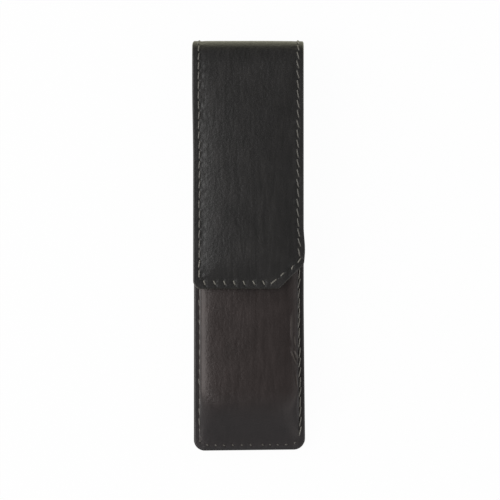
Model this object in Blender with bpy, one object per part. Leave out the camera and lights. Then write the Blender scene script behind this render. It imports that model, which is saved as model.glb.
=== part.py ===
"""Leather case for two pens, closed and lying on its back.

+X runs to the right as the front is seen, +Y from the closed end to the fold, +Z from the back to
the front. The origin is the middle of the footprint, on the surface that the back lies on.

The shell is one strip of leather, stiffener and lining that makes the back, the fold and the flap.
It is laid out flat in x, run and depth: the run starts along the back, and the depth goes in from
the outer face. Each piece gets its outline and its pressed border there, and is then wrapped round
the fold. The pocket front is a moulded tray, sewn to the back on three sides.
"""
import math

import bmesh
import bpy
import numpy as np
from mathutils import Vector

MM = 0.001

# Overall sizes
CASE_LENGTH = 160.0 * MM
SHELL_WIDTH = 43.0 * MM
PEN_DEPTH = 12.0 * MM

# Sheets, and the glue line that parts them
LEATHER = 1.2 * MM
BOARD = 0.6 * MM
LINING = 0.5 * MM
GLUE_GAP = 0.3 * MM
EDGE_ROUND = 0.3 * MM
LINING_TRIM = 0.15 * MM

# Border that is pressed flat for the stitching, and its slope up to the raised middle
BORDER = 2.4 * MM
PRESS_SLOPE = 2.6 * MM
PRESS_OUTER = 0.4 * MM
PRESS_INNER = BOARD + GLUE_GAP - PRESS_OUTER
SLOPE_SHARES = (0.0, 0.25, 0.5, 0.75, 1.0)
BOARD_SHARES = (0.75, 1.0)

# Closed end of the back
CORNER_LEFT = 4.3 * MM
CORNER_RIGHT = 3.5 * MM
PLATEAU_CORNER = 1.5 * MM

# Flap
FLAP_COVER = 96.9 * MM
FLAP_CORNER = 2.4 * MM
FLAP_CHAMFER = 9.7 * MM
CHAMFER_CORNER = 2.2 * MM
FLAP_CLEARANCE = 0.4 * MM

# Fold: a half tube whose first and last stretch stay with the back and the flap
FOLD_LEAD = math.radians(15.0)
FOLD_PIECES = ("fold_rear", "fold_top", "fold_front")
FOLD_STEPS = 10
LEAD_STEPS = 4

# Pocket front: flange, foot, wall, shoulder and crown at the sides, one long rise at the closed end
POCKET_TRIM = 0.15 * MM
FOOT_INSET = 2.4 * MM
FOOT_FILLET = 0.6 * MM
SIDE_LEAN = 0.3 * MM
SIDE_SHOULDER = 4.0 * MM
END_RISE_RUN = 16.0 * MM
SHOULDER_DROP = 3.8 * MM
CROWN = 0.6 * MM
CROWN_RUN_SHARE = 0.6
WALL_CORNER = 4.2 * MM
LEAST_CORNER = 0.6 * MM
CROWN_SHARES = (0.25, 0.5, 0.75, 1.0)

# Mouth of the pocket, with a thumb notch
MOUTH_BELOW_TOP = 30.0 * MM
NOTCH_WIDTH = 16.0 * MM
NOTCH_DEPTH = 5.0 * MM

# Divider strip between the two pens, on a glued foot
DIVIDER = 1.0 * MM
DIVIDER_FOOT_WIDTH = 7.0 * MM
DIVIDER_FOOT = 0.6 * MM
DIVIDER_BELOW_MOUTH = 6.0 * MM
DIVIDER_SLOPE_RUN = 14.0 * MM
DIVIDER_LOW_SHARE = 0.45

# One overrun for every cut, and the steps of rounded shapes
OVERRUN = 12.0 * MM
CORNER_STEPS = 8
ARC_STEPS = 8
WALL_STEPS = 6
NOTCH_STEPS = 24
SHARP_EDGE = math.radians(38.0)

# Worked out from the sizes above
SHEETS = LEATHER + GLUE_GAP + BOARD + GLUE_GAP + LINING
FRONT_SHEETS = LEATHER + GLUE_GAP + LINING
CASE_DEPTH = SHEETS + PEN_DEPTH + FRONT_SHEETS + FLAP_CLEARANCE + SHEETS
FOLD_RADIUS = CASE_DEPTH / 2.0
TOP = CASE_LENGTH / 2.0
CLOSED_END = -CASE_LENGTH / 2.0
FOLD_START = TOP - FOLD_RADIUS
FOLD_LENGTH = math.pi * FOLD_RADIUS
LEAD_LENGTH = FOLD_RADIUS * FOLD_LEAD
FLAP_END = FOLD_START + FOLD_LENGTH + FLAP_COVER - FOLD_RADIUS
HALF_WIDTH = SHELL_WIDTH / 2.0
LINING_DEPTH = LEATHER + GLUE_GAP + BOARD + GLUE_GAP
BORDER_LINING = LINING_DEPTH + LINING - PRESS_INNER
FLANGE_TOP = BORDER_LINING + GLUE_GAP + LINING + GLUE_GAP + LEATHER
FRONT_TOP = SHEETS + PEN_DEPTH + FRONT_SHEETS
MOUTH = TOP - MOUTH_BELOW_TOP
POCKET_HALF = HALF_WIDTH - POCKET_TRIM
CROWN_START = FOOT_INSET + SIDE_LEAN + SIDE_SHOULDER
CROWN_RUN = CROWN_RUN_SHARE * (POCKET_HALF - CROWN_START)


def clear_scene():
    """Remove every object, so that the case is alone in the file."""
    for obj in list(bpy.data.objects):
        bpy.data.objects.remove(obj, do_unlink=True)


def material(name, color, roughness, metallic=0.0):
    """Plain surface with the colour and gloss of one of the case's materials."""
    surface = bpy.data.materials.new(name)
    surface.use_nodes = True
    shader = surface.node_tree.nodes["Principled BSDF"]
    shader.inputs["Base Color"].default_value = (*color, 1.0)
    shader.inputs["Roughness"].default_value = roughness
    shader.inputs["Metallic"].default_value = metallic
    return surface


def smoothstep(share):
    """Ease from 0 to 1 with level ends."""
    return share * share * (3.0 - 2.0 * share)


def wrap(point):
    """Place a flat point (x, run, depth) on the back, round the fold or on the flap."""
    x, run, depth = point
    turn = (run - FOLD_START) / FOLD_RADIUS
    reach = FOLD_RADIUS - depth
    if turn <= 0.0:
        return Vector((x, run, depth))
    if turn >= math.pi:
        past = run - FOLD_START - FOLD_LENGTH
        return Vector((x, FOLD_START - past, CASE_DEPTH - depth))
    return Vector((x, FOLD_START + reach * math.sin(turn), FOLD_RADIUS - reach * math.cos(turn)))


def loft(rings):
    """Closed mesh through rings of equal count, with its first and last ring filled."""
    mesh = bmesh.new()
    rows = [[mesh.verts.new(point) for point in ring] for ring in rings]
    count = len(rows[0])
    for low, high in zip(rows, rows[1:]):
        for side in range(count):
            after = (side + 1) % count
            mesh.faces.new((low[side], low[after], high[after], high[side]))
    mesh.faces.new(reversed(rows[0]))
    mesh.faces.new(rows[-1])
    return mesh


def make_object(name, mesh, surface):
    """Object from a bmesh, with its faces pointing out and its round stretches smooth."""
    bmesh.ops.recalc_face_normals(mesh, faces=mesh.faces)
    data = bpy.data.meshes.new(name)
    mesh.to_mesh(data)
    mesh.free()
    data.materials.append(surface)
    data.shade_smooth()
    data.set_sharp_from_angle(angle=SHARP_EDGE)
    obj = bpy.data.objects.new(name, data)
    bpy.context.scene.collection.objects.link(obj)
    return obj


def moved_corner(corner, before, after, inset_before, inset_after):
    """Corner of an outline after the sides before and after it have moved in."""
    into = (corner - before).normalized()
    out = (after - corner).normalized()
    shift_into = Vector((-into.y, into.x)) * inset_before
    shift_out = Vector((-out.y, out.x)) * inset_after
    turn = into.x * out.y - into.y * out.x
    along = ((shift_out - shift_into).x * out.y - (shift_out - shift_into).y * out.x) / turn
    return corner + shift_into + into * along


def round_corner(corner, before, after, radius):
    """Points of the arc that rounds a corner between the sides from before and to after."""
    into = (corner - before).normalized()
    out = (after - corner).normalized()
    turn = into.angle(out)
    start = corner - into * radius * math.tan(turn / 2.0)
    centre = start + Vector((-into.y, into.x)) * radius
    first = math.atan2(start.y - centre.y, start.x - centre.x)
    points = []
    for step in range(CORNER_STEPS + 1):
        angle = first + turn * step / CORNER_STEPS
        points.append(centre + Vector((math.cos(angle), math.sin(angle))) * radius)
    return points


def rounded_ring(corners, radii, insets, depths):
    """Ring round an outline whose sides have their own insets and depths, one side per corner."""
    count = len(corners)
    moved = []
    for place in range(count):
        after = (place + 1) % count
        moved.append(moved_corner(corners[place], corners[place - 1], corners[after],
                                  insets[place - 1], insets[place]))
    ring = []
    for place in range(count):
        after = (place + 1) % count
        arc = round_corner(moved[place], moved[place - 1], moved[after], radii[place])
        for step, point in enumerate(arc):
            share = step / CORNER_STEPS
            depth = depths[place - 1] * (1.0 - share) + depths[place] * share
            ring.append((point.x, point.y, depth))
    return ring


def slope_rows(shares):
    """Inset and pressed share of each row of the border's slope, from the middle outwards."""
    return [(BORDER + PRESS_SLOPE * share, 1.0 - smoothstep(share)) for share in reversed(shares)]


def leather_section():
    """Inset and depth along half a section of the shell leather, inner face first."""
    rows = slope_rows(SLOPE_SHARES)
    inner = [(inset, LEATHER + PRESS_OUTER * pressed) for inset, pressed in rows]
    outer = [(inset, PRESS_OUTER * pressed) for inset, pressed in reversed(rows)]
    edge = [
        (EDGE_ROUND, PRESS_OUTER + LEATHER),
        (0.0, PRESS_OUTER + LEATHER - EDGE_ROUND),
        (0.0, PRESS_OUTER + EDGE_ROUND),
        (EDGE_ROUND, PRESS_OUTER),
    ]
    return inner + edge + outer


def board_section():
    """Inset and depth along half a section of the stiffener, whose edge is pared thin."""
    rows = slope_rows(BOARD_SHARES)
    inner = [(inset, LEATHER + GLUE_GAP + BOARD - PRESS_INNER * pressed) for inset, pressed in rows]
    outer = [(inset, LEATHER + GLUE_GAP + PRESS_OUTER * pressed) for inset, pressed in reversed(rows)]
    return inner + outer


def lining_section():
    """Inset and depth along half a section of the lining, inner face first."""
    rows = slope_rows(SLOPE_SHARES)
    inner = [(inset, LINING_DEPTH + LINING - PRESS_INNER * pressed) for inset, pressed in rows]
    outer = [(inset, LINING_DEPTH - PRESS_INNER * pressed) for inset, pressed in reversed(rows)]
    edge = [
        (LINING_TRIM, LINING_DEPTH + LINING - PRESS_INNER),
        (LINING_TRIM, LINING_DEPTH - PRESS_INNER),
    ]
    return inner + edge + outer


def nested_sheet(corners, radii, section):
    """Flat sheet lofted through one outline for each row of its section."""
    rings = []
    for inset, depth in section:
        kept = [max(radius - inset, min(radius, PLATEAU_CORNER)) for radius in radii]
        rings.append(rounded_ring(corners, kept, [inset] * len(corners), [depth] * len(corners)))
    return loft(rings)


def cut_across(mesh, run, keep_side=0):
    """Cut a flat sheet across its run, keeping both sides or only one of them."""
    parts = mesh.verts[:] + mesh.edges[:] + mesh.faces[:]
    cut = bmesh.ops.bisect_plane(mesh, geom=parts, plane_co=(0.0, run, 0.0), plane_no=(0.0, 1.0, 0.0),
                                 clear_outer=keep_side < 0, clear_inner=keep_side > 0)
    if keep_side:
        rim = [item for item in cut["geom_cut"] if isinstance(item, bmesh.types.BMEdge)]
        bmesh.ops.edgeloop_fill(mesh, edges=rim)


def wrap_mesh(mesh):
    """Wrap every point of a flat sheet round the fold."""
    for vert in mesh.verts:
        vert.co = wrap(vert.co)
    mesh.normal_update()


def back_outline():
    """Corners and radii of the back, laid flat and running on past its cut."""
    far = FOLD_START + LEAD_LENGTH + OVERRUN
    corners = [
        Vector((-HALF_WIDTH, CLOSED_END)),
        Vector((HALF_WIDTH, CLOSED_END)),
        Vector((HALF_WIDTH, far)),
        Vector((-HALF_WIDTH, far)),
    ]
    return corners, (CORNER_LEFT, CORNER_RIGHT, PLATEAU_CORNER, PLATEAU_CORNER)


def flap_outline():
    """Corners and radii of the flap, laid flat, with its free end's right corner cut off."""
    near = FOLD_START + FOLD_LENGTH - LEAD_LENGTH - OVERRUN
    corners = [
        Vector((-HALF_WIDTH, near)),
        Vector((HALF_WIDTH, near)),
        Vector((HALF_WIDTH, FLAP_END - FLAP_CHAMFER)),
        Vector((HALF_WIDTH - FLAP_CHAMFER, FLAP_END)),
        Vector((-HALF_WIDTH, FLAP_END)),
    ]
    return corners, (PLATEAU_CORNER, PLATEAU_CORNER, CHAMFER_CORNER, CHAMFER_CORNER, FLAP_CORNER)


def back_sheet(section):
    """One sheet of the back, which curls up with the first stretch of the fold."""
    mesh = nested_sheet(*back_outline(), section)
    cut_across(mesh, FOLD_START + LEAD_LENGTH - GLUE_GAP / 2.0, keep_side=-1)
    for step in range(LEAD_STEPS):
        cut_across(mesh, FOLD_START + LEAD_LENGTH * step / LEAD_STEPS)
    wrap_mesh(mesh)
    return mesh


def flap_sheet(section):
    """One sheet of the flap, which starts with the last stretch of the fold."""
    mesh = nested_sheet(*flap_outline(), section)
    cut_across(mesh, FOLD_START + FOLD_LENGTH - LEAD_LENGTH + GLUE_GAP / 2.0, keep_side=1)
    for step in range(LEAD_STEPS):
        cut_across(mesh, FOLD_START + FOLD_LENGTH - LEAD_LENGTH * step / LEAD_STEPS)
    wrap_mesh(mesh)
    return mesh


def fold_span(place):
    """Run at the hinge lines that one segment of the fold lies between."""
    length = (FOLD_LENGTH - 2.0 * LEAD_LENGTH) / len(FOLD_PIECES)
    start = FOLD_START + LEAD_LENGTH + length * place
    return start, start + length


def fold_sheet(section, place):
    """One sheet of a fold segment: its section carried round the arc."""
    start, end = fold_span(place)
    start += GLUE_GAP / 2.0
    end -= GLUE_GAP / 2.0
    right = [(HALF_WIDTH - inset, depth) for inset, depth in section]
    left = [(-x, depth) for x, depth in reversed(right)]
    rings = []
    for run in np.linspace(start, end, FOLD_STEPS + 1):
        rings.append([wrap((x, run, depth)) for x, depth in right + left])
    return loft(rings)


def side_profile():
    """Inset and height along the pocket front's outer face at a side, from flange to crown."""
    rows = [(0.0, FLANGE_TOP)]
    for step in range(ARC_STEPS // 2 + 1):
        angle = math.pi / 2.0 * step / (ARC_STEPS // 2)
        inset = FOOT_INSET - FOOT_FILLET * (1.0 - math.sin(angle))
        rows.append((inset, FLANGE_TOP + FOOT_FILLET * (1.0 - math.cos(angle))))
    wall_foot = FLANGE_TOP + FOOT_FILLET
    wall_top = FRONT_TOP - CROWN - SHOULDER_DROP
    for step in range(1, WALL_STEPS):
        share = step / WALL_STEPS
        rows.append((FOOT_INSET + SIDE_LEAN * share, wall_foot + (wall_top - wall_foot) * share))
    for step in range(ARC_STEPS + 1):
        angle = math.pi / 2.0 * step / ARC_STEPS
        inset = FOOT_INSET + SIDE_LEAN + SIDE_SHOULDER * (1.0 - math.cos(angle))
        rows.append((inset, wall_top + SHOULDER_DROP * math.sin(angle)))
    for share in CROWN_SHARES:
        rise = CROWN * (1.0 - (1.0 - share) ** 2)
        rows.append((CROWN_START + CROWN_RUN * share, FRONT_TOP - CROWN + rise))
    return np.array(rows)


def end_profile():
    """The same heights at the closed end, where the leather rises from the flange in one long ease.

    The share of the run at which a smoothstep has risen to a height is its inverse.
    """
    side = side_profile()
    risen = np.clip((side[:, 1] - FLANGE_TOP) / (FRONT_TOP - CROWN - FLANGE_TOP), 0.0, 1.0)
    run_share = 0.5 - np.sin(np.arcsin(1.0 - 2.0 * risen) / 3.0)
    inset = FOOT_INSET + END_RISE_RUN * run_share + np.maximum(side[:, 0] - CROWN_START, 0.0)
    inset[0] = 0.0
    return np.column_stack((inset, side[:, 1]))


def inside_of(profile, distance):
    """Profile moved square to itself, to the inner side, by a distance."""
    ahead = np.diff(profile, axis=0)
    ahead /= np.linalg.norm(ahead, axis=1)[:, None]
    tangent = np.vstack((ahead[:1], ahead[:-1] + ahead[1:], ahead[-1:]))
    tangent /= np.linalg.norm(tangent, axis=1)[:, None]
    half_turn = np.ones(len(profile))
    half_turn[1:-1] = np.sqrt((1.0 + np.sum(ahead[:-1] * ahead[1:], axis=1)) / 2.0)
    inward = np.column_stack((tangent[:, 1], -tangent[:, 0]))
    return profile + inward * (distance / half_turn)[:, None]


def tray_ring(side_row, end_row, distance, trim):
    """Ring of the pocket front for one row of its side profile and its end profile."""
    far = MOUTH + OVERRUN + CROWN_RUN + END_RISE_RUN
    low = CLOSED_END + POCKET_TRIM
    corners = [
        Vector((-POCKET_HALF, low)),
        Vector((POCKET_HALF, low)),
        Vector((POCKET_HALF, far)),
        Vector((-POCKET_HALF, far)),
    ]
    side_inset = max(side_row[0], trim)
    end_inset = max(end_row[0], trim)
    if side_inset < FOOT_INSET - FOOT_FILLET:
        radii = [CORNER_LEFT - side_inset, CORNER_RIGHT - side_inset, WALL_CORNER, WALL_CORNER]
    else:
        radii = [WALL_CORNER - distance] * len(corners)
    radii = [max(radius, LEAST_CORNER) for radius in radii]
    insets = [end_inset, side_inset, end_inset, side_inset]
    heights = [end_row[1], side_row[1], end_row[1], side_row[1]]
    return rounded_ring(corners, radii, insets, heights)


def tray_sheet(outer_distance, thickness, trim):
    """Moulded sheet of the pocket front: inner face, cut edge, outer face."""
    side = side_profile()
    end = end_profile()
    rings = []
    faces = ((outer_distance + thickness, -1), (outer_distance, 1))
    for distance, order in faces:
        side_rows = inside_of(side, distance)[::order]
        end_rows = inside_of(end, distance)[::order]
        for side_row, end_row in zip(side_rows, end_rows):
            rings.append(tray_ring(side_row, end_row, distance, trim))
    return loft(rings)


def cutter(name, mesh, surface):
    """Hidden object that shapes another and is no piece itself."""
    obj = make_object(name, mesh, surface)
    obj.hide_render = True
    obj.display_type = "WIRE"
    return obj


def mouth_cutter(surface):
    """Everything past the pocket's mouth, with the thumb notch as a shallow arc."""
    reach = SHELL_WIDTH
    half_notch = NOTCH_WIDTH / 2.0
    far = MOUTH + OVERRUN + CROWN_RUN + END_RISE_RUN + OVERRUN
    outline = [(-reach, far), (-reach, MOUTH)]
    for step in range(NOTCH_STEPS + 1):
        share = 2.0 * step / NOTCH_STEPS - 1.0
        dip = NOTCH_DEPTH * (1.0 + math.cos(math.pi * share)) / 2.0
        outline.append((half_notch * share, MOUTH - dip))
    outline += [(reach, MOUTH), (reach, far)]
    low = [(x, y, -OVERRUN) for x, y in outline]
    high = [(x, y, CASE_DEPTH + OVERRUN) for x, y in outline]
    return cutter("mouth_cutter", loft([low, high]), surface)


def add_boolean(obj, other, operation):
    """Boolean that keeps running on the object."""
    step = obj.modifiers.new(operation.lower(), "BOOLEAN")
    step.operation = operation
    step.solver = "EXACT"
    step.object = other


def divider_outline():
    """Outline of the divider web in y and z: closed end, ceiling, and a low sweep at the mouth."""
    floor = SHEETS + GLUE_GAP
    ceiling = inside_of(end_profile(), FRONT_SHEETS + GLUE_GAP)
    rows = [(CLOSED_END + POCKET_TRIM + inset, height) for inset, height in ceiling]
    rows = [(y, z) for y, z in rows if z > floor + DIVIDER_FOOT]
    top = rows[-1][1]
    low = floor + (top - floor) * DIVIDER_LOW_SHARE
    end = MOUTH - NOTCH_DEPTH - DIVIDER_BELOW_MOUTH
    for step in range(ARC_STEPS + 1):
        share = step / ARC_STEPS
        y = end - DIVIDER_SLOPE_RUN * (1.0 - share)
        rows.append((y, top + (low - top) * smoothstep(share)))
    return [(rows[0][0], floor)] + rows + [(end, floor)]


def pen_divider(surface):
    """Divider strip: a web between the pens on a flat foot that is glued to the back lining."""
    outline = divider_outline()
    left = [(-DIVIDER / 2.0, y, z) for y, z in outline]
    right = [(DIVIDER / 2.0, y, z) for y, z in outline]
    web = make_object("pen_divider", loft([left, right]), surface)
    floor = SHEETS + GLUE_GAP
    half_foot = DIVIDER_FOOT_WIDTH / 2.0
    near = outline[0][0]
    far = outline[-1][0]
    rings = []
    for y in (near, far):
        rings.append([(-half_foot, y, floor), (half_foot, y, floor),
                      (half_foot, y, floor + DIVIDER_FOOT), (-half_foot, y, floor + DIVIDER_FOOT)])
    add_boolean(web, cutter("divider_foot_tool", loft(rings), surface), "UNION")
    return web


def hinge_empty(name, run, parent):
    """Empty on a fold line: the outer face's line across the strip, where the leather bends."""
    empty = bpy.data.objects.new(name, None)
    bpy.context.scene.collection.objects.link(empty)
    place = wrap((0.0, run, 0.0))
    empty.location = place
    if parent:
        empty.parent = parent[0]
        empty.location = place - parent[1]
    return empty, place


def hang(obj, hinge):
    """Carry a piece on its hinge empty, with its origin on the hinge line."""
    empty, place = hinge
    obj.data.transform(obj.matrix_world.Translation(-place))
    obj.parent = empty


def build_shell(leather, board, lining):
    """Back, fold and flap, each with its leather, stiffener and lining."""
    layers = (
        ("leather", leather_section(), leather),
        ("board", board_section(), board),
        ("lining", lining_section(), lining),
    )
    hinges = []
    for place, piece in enumerate(FOLD_PIECES):
        hinges.append(hinge_empty(piece + "_hinge", fold_span(place)[0], hinges[-1] if hinges else None))
    last_run = fold_span(len(FOLD_PIECES) - 1)[1]
    flap_hinge = hinge_empty("flap_hinge", last_run, hinges[-1])
    for layer, section, surface in layers:
        make_object("back_" + layer, back_sheet(section), surface)
        for place, piece in enumerate(FOLD_PIECES):
            hang(make_object(piece + "_" + layer, fold_sheet(section, place), surface), hinges[place])
        hang(make_object("flap_" + layer, flap_sheet(section), surface), flap_hinge)


def build_pocket(leather, lining, divider):
    """Pocket front with its lining, cut at the mouth, and the divider inside it."""
    mouth = mouth_cutter(lining)
    front = make_object("front_leather", tray_sheet(0.0, LEATHER, 0.0), leather)
    inner = make_object("front_lining", tray_sheet(LEATHER + GLUE_GAP, LINING, LINING_TRIM), lining)
    for obj in (front, inner):
        add_boolean(obj, mouth, "DIFFERENCE")
    pen_divider(divider)


def build_case():
    """The whole case."""
    clear_scene()
    leather = material("smooth_black_leather", (0.022, 0.021, 0.020), 0.42)
    board = material("bonded_leather_board", (0.09, 0.06, 0.04), 0.85)
    lining = material("black_suede_lining", (0.018, 0.017, 0.017), 0.9)
    divider = material("black_split_leather", (0.02, 0.019, 0.018), 0.7)
    build_shell(leather, board, lining)
    build_pocket(leather, lining, divider)


build_case()
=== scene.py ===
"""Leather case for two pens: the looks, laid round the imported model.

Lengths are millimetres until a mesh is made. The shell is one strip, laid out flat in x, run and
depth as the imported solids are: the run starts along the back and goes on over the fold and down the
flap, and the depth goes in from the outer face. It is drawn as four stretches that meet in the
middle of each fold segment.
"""
import math

import bmesh
import bpy
import numpy as np
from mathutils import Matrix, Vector


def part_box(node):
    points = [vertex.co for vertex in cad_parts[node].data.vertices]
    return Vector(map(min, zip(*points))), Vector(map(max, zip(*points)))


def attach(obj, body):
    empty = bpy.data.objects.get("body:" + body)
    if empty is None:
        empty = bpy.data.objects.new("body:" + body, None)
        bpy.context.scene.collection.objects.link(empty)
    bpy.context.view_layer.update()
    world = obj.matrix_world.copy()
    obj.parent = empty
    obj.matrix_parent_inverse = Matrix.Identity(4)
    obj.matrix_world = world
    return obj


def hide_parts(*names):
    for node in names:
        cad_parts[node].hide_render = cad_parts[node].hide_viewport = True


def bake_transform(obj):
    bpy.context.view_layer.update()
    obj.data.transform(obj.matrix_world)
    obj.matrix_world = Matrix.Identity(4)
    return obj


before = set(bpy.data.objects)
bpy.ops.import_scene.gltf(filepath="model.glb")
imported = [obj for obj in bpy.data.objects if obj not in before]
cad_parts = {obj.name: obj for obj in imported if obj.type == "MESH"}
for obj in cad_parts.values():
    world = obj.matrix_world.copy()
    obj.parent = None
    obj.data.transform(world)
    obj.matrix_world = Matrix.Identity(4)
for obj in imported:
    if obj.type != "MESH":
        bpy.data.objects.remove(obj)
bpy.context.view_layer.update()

MM = 0.001

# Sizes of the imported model, with each hinge's way round the fold in degrees
HALF_WIDTH = 21.5
CLOSED_END = -80.0
CASE_DEPTH = 20.2
FOLD_RADIUS = CASE_DEPTH / 2.0
FOLD_START = 69.9
FOLD_LENGTH = math.pi * FOLD_RADIUS
FOLD_END = FOLD_START + FOLD_LENGTH
FOLD_MIDDLE = FOLD_START + FOLD_LENGTH / 2.0
FLAP_LENGTH = 86.8
FLAP_END = FOLD_END + FLAP_LENGTH
HINGE_TURNS = (15.0, 65.0, 115.0, 165.0)
HINGE_RUNS = tuple(FOLD_START + FOLD_LENGTH * turn / 180.0 for turn in HINGE_TURNS)
MID_RUNS = tuple((low + high) / 2.0 for low, high in zip(HINGE_RUNS, HINGE_RUNS[1:]))

# Sheets from the outer face in, and how far board and lining stay in from the leather's edge
LEATHER = 1.2
GLUE = 0.3
BOARD = 0.6
LINING = 0.5
LINING_DEPTH = LEATHER + GLUE + BOARD + GLUE
SHEETS = LINING_DEPTH + LINING
BOARD_TRIM = 4.35
LINING_TRIM = 0.15

# Border that is pressed in along the seam: its width, how far each face goes in, how wide the slopes
# inside it are, and how much the seam squeezes leather and lining together, over its own slope
BORDER = 2.4
PRESS_OUTER = 0.4
PRESS_INNER = 0.5
PRESS_SLOPE = 2.6
SETTLE_REACH = 2.2
SQUEEZE = 0.12
SQUEEZE_SLOPE = 1.0

# How far in from its edge a sheet is rounded: leather and board, lining, and the pocket's mouth
EDGE_REACH = 0.55
LINING_EDGE_REACH = 0.3
MOUTH_EDGE_REACH = 0.5

# Outline of the flat strip: x, run and radius of each corner, anticlockwise. The flap's right corner
# is cut off at 45 degrees
CUT_CORNER = 9.7
STRIP = (
    (-HALF_WIDTH, CLOSED_END, 4.3),
    (HALF_WIDTH, CLOSED_END, 4.4),
    (HALF_WIDTH, FLAP_END - CUT_CORNER, 2.2),
    (HALF_WIDTH - CUT_CORNER, FLAP_END, 2.2),
    (-HALF_WIDTH, FLAP_END, 3.2),
)

# How far hand cutting moved the edges outwards: the right one along the flap, just above its cut
# corner and towards the closed end, the left one along the flap and on the flap's first stretch.
# The closed end slants by a share of x
RIGHT_FLAP_FULL = -0.18
RIGHT_CORNER_FULL = 0.6
RIGHT_END_FULL = 0.5
LEFT_FLAP_FULL = 0.22
LEFT_TOP_FULL = 0.36
END_SLANT_SHARE = 0.0115

# The flap is crowned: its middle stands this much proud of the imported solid
FLAP_CROWN = 0.8

# The right border is pared thinner to its edge by this much, on the shell and on the pocket's flange
RIGHT_PARE = 0.16
FLANGE_PARE = 0.28

# Sewing: pitch, the thread's radius, how wide and deep the bell of a hole is, how much closer than
# half the pitch a hole lies, and how wide, deep and far inside the seam the thread's pull is
PITCH = 3.85
THREAD_RADIUS = 0.27
HOLE_WIDTH = 0.32
HOLE_DEPTH = 0.19
HOLE_CLOSER = 0.05
PULL_WIDTH = 1.2
PULL_DEPTH = 0.18
PULL_INSET = 0.8

# How far a stitch rises over its line, and how deep its ends sink; on the pocket's right side they
# sink less
THREAD_RISE = 0.16
THREAD_SINK = 0.36
SHALLOW_SINK = 0.12

# Side seams: how far from the closed end they start, and how far short of the mouth the pocket's
# one stops. Columns: side, how far short of the flap's end the seam stops (shell only), distance
# from the edge, lean from the side in degrees, and stitch length
SHELL_SEAM_START = 5.6
SHELL_SEAMS = ((-1, 4.0, 2.42, 5.0, 3.5), (1, 12.4, 2.18, -13.0, 3.75))
POCKET_SEAM_START = 5.2
POCKET_SEAM_STOP = 1.2
POCKET_SEAMS = ((-1, 2.2, 5.0, 3.3), (1, 1.75, -9.0, 4.1))

# Pocket front
POCKET_HALF = 21.35
POCKET_LOW = -79.85
POCKET_CORNER = 4.0
MOUTH = 50.0
NOTCH_HALF = 8.0
NOTCH_DEPTH = 5.0
FLANGE_TOP = 4.7
FRONT_TOP = 16.9
FOOT = 2.2
FOOT_FILLET = 0.3
WALL_LEAN = 0.1
SHOULDER = 1.6
CROWN_RISE = 0.7
CROWN_REACH = 1.25
CROWN_ROLL = 0.8
CROWN_HALF = 17.0
END_RISE_RUN = 18.0

# Creases beside the right seam: x, y at both ends, width, and how proud they stand
CREASES = (
    (16.6, -25.5, 16.6, -38.5, 0.36, 0.24),
    (17.7, -40.4, 18.8, -44.8, 0.32, 0.42),
    (16.7, -41.4, 18.4, -46.6, 0.30, 0.34),
    (17.7, -34.5, 18.1, -39.5, 0.34, 0.28),
    (16.1, -38.5, 17.0, -43.2, 0.38, 0.16),
    (18.1, -49.0, 18.6, -55.5, 0.34, 0.22),
    (17.4, -57.0, 18.0, -64.0, 0.46, 0.13),
)

# Divider: half the web's thickness, the height of its flare, and the length of its sweep
WEB_HALF = 0.5
FLARE_TOP = 2.2
SWEEP = 14.0

# Spacing of the meshes: rows and columns of the sheets, the band of close columns at each side,
# insets of the rows on a rounded edge, and rows and columns of the pocket front
BACK_STEP = 0.5
FLAP_STEP = 0.34
BOARD_STEP = 1.4
LINING_COARSER = 0.16
CLOSE_BAND = 3.2
ROUND_INSETS = (0.02, 0.07, 0.15, 0.26, 0.4, 0.58, 0.8)
RIM_ROWS = 7
SIDE_COLUMNS = 250
CORNER_COLUMNS = 10
END_COLUMNS = 84

# Marks for the materials: how far in the rim's paler colour reaches, partly edge wear and partly a
# painted highlight, how wide the painted shade of a hole on the shell is, and how far apart the two
# faces of a sheet lie on its UV map
RIM_REACH = 0.22
HOLE_MARK = 0.27
STRIP_FACE_APART = 60.0
TRAY_FACE_APART = 200.0

# Points closer than this, in metres, are one, and edges that turn by more degrees are sharp
SAME_POINT = 1e-7
SHARP_TURN = 62.0


# Formulas

def ramp(value, start, end):
    """Smoothstep from 0 at the start to 1 at the end: 3s^2 - 2s^3 of the share s of the way."""
    share = np.clip((value - start) / (end - start), 0.0, 1.0)
    return share * share * (3.0 - 2.0 * share)


def bell(away, width):
    """Bell that is 1 in its middle: exp(-(away / width)^2)."""
    return np.exp(-(away / width) ** 2)


def rounded_edge(inset, thickness, reach=EDGE_REACH):
    """How far a face falls in towards the sheet's middle near its edge: half the thickness times one
    less the height of a quarter circle over the reach."""
    share = np.clip(1.0 - inset / reach, 0.0, 1.0)
    return thickness / 2.0 * (1.0 - np.sqrt(np.maximum(1.0 - share * share, 0.0)))


def slow_waves(x, run):
    """Slow unevenness of the hide, made of crossed sines of 29 to 107 mm."""
    wave = np.sin(x / 4.6 + 0.8 * np.sin(run / 13.0)) * np.sin(run / 8.3 + 0.6)
    wave += 0.7 * np.sin(x / 7.1 + run / 17.0 + 1.3)
    wave += 0.5 * np.sin(run / 5.1 - x / 9.0)
    return wave


def hand_cut(x, run):
    """Flat places with the wander that hand-cut leather has. Each amount comes and goes along the
    run by a ramp, a bell or a power, and grows across from nothing near the middle to its side."""
    right = RIGHT_CORNER_FULL * bell(run - (FLAP_END - 15.5), 6.0)
    right = right + RIGHT_FLAP_FULL * ramp(run, 80.0, 88.0)
    right = right + RIGHT_END_FULL * np.clip((-21.0 - run) / 53.0, 0.0, 1.0) ** 1.2
    left = LEFT_FLAP_FULL * ramp(run, 82.0, 91.0)
    left = left + LEFT_TOP_FULL * ramp(run, 84.0, 92.0) * (1.0 - ramp(run, 108.0, 140.0))
    moved = x + right * ramp(x, 8.0, 20.0) - left * ramp(x, -10.0, -21.0)
    return moved, run + END_SLANT_SHARE * x * ramp(run, -66.0, -78.0)


# Strip

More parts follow.
